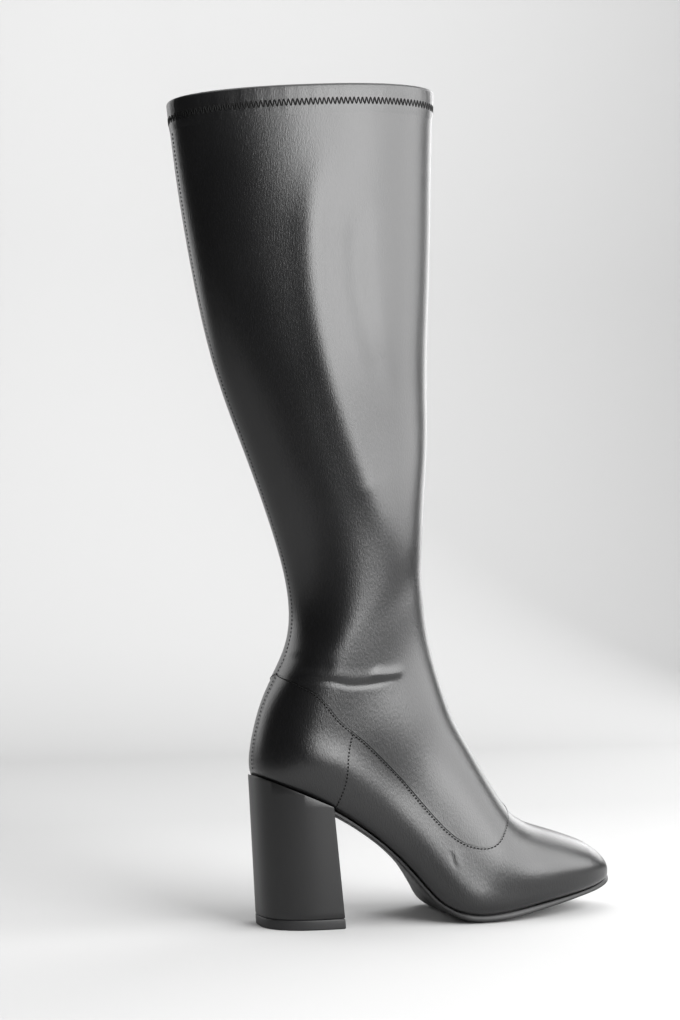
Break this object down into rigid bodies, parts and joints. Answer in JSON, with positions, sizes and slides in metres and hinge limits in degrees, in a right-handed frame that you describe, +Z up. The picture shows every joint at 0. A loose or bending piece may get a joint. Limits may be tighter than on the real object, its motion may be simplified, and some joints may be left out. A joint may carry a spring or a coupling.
{
  "type": "knee-high boot",
  "caption": "Knee-high leather boot on a high block heel, with a close-fitting shaft, a folded collar, an almond toe and a short zip on the inner side",
  "frame": {"origin": "middle of the heel tip's lower face, on the floor", "axes": "+X to the toe, +Y to the inner side of the foot (the side of the zip), +Z up the shaft"},
  "size_m": [0.2874, 0.0824, 0.501],
  "materials": {
    "leather": "black, half gloss, fine grain",
    "insole_board": "matte board with a thin leather sock",
    "outsole": "matte black",
    "heel_cover": "black, half gloss, smooth cover",
    "heel_tip": "matte black",
    "zip_tape": "woven black",
    "zip_teeth": "black moulded coil",
    "zip_metal": "dull grey",
    "zip_slider": "black, half gloss",
    "zip_pull": "black, half gloss"
  },
  "bodies": {
    "boot": {"upper": "leather", "insole": "insole_board", "outsole": "outsole", "heel_block": "heel_cover", "heel_tip": "heel_tip", "zip_tape": "zip_tape", "zip_teeth": "zip_teeth", "zip_bottom_stop": "zip_metal", "zip_slider": "zip_slider"},
    "pull_tab": {"zip_pull": "zip_pull"}
  },
  "joints": [
    {"name": "pull_tab_swing", "type": "hinge", "parent": "boot", "child": "pull_tab", "pos_m": [0.02043, 0.03243, 0.23536], "axis": [0.9861, 0.1377, 0.093], "range_deg": [-3, 140]}
  ]
}
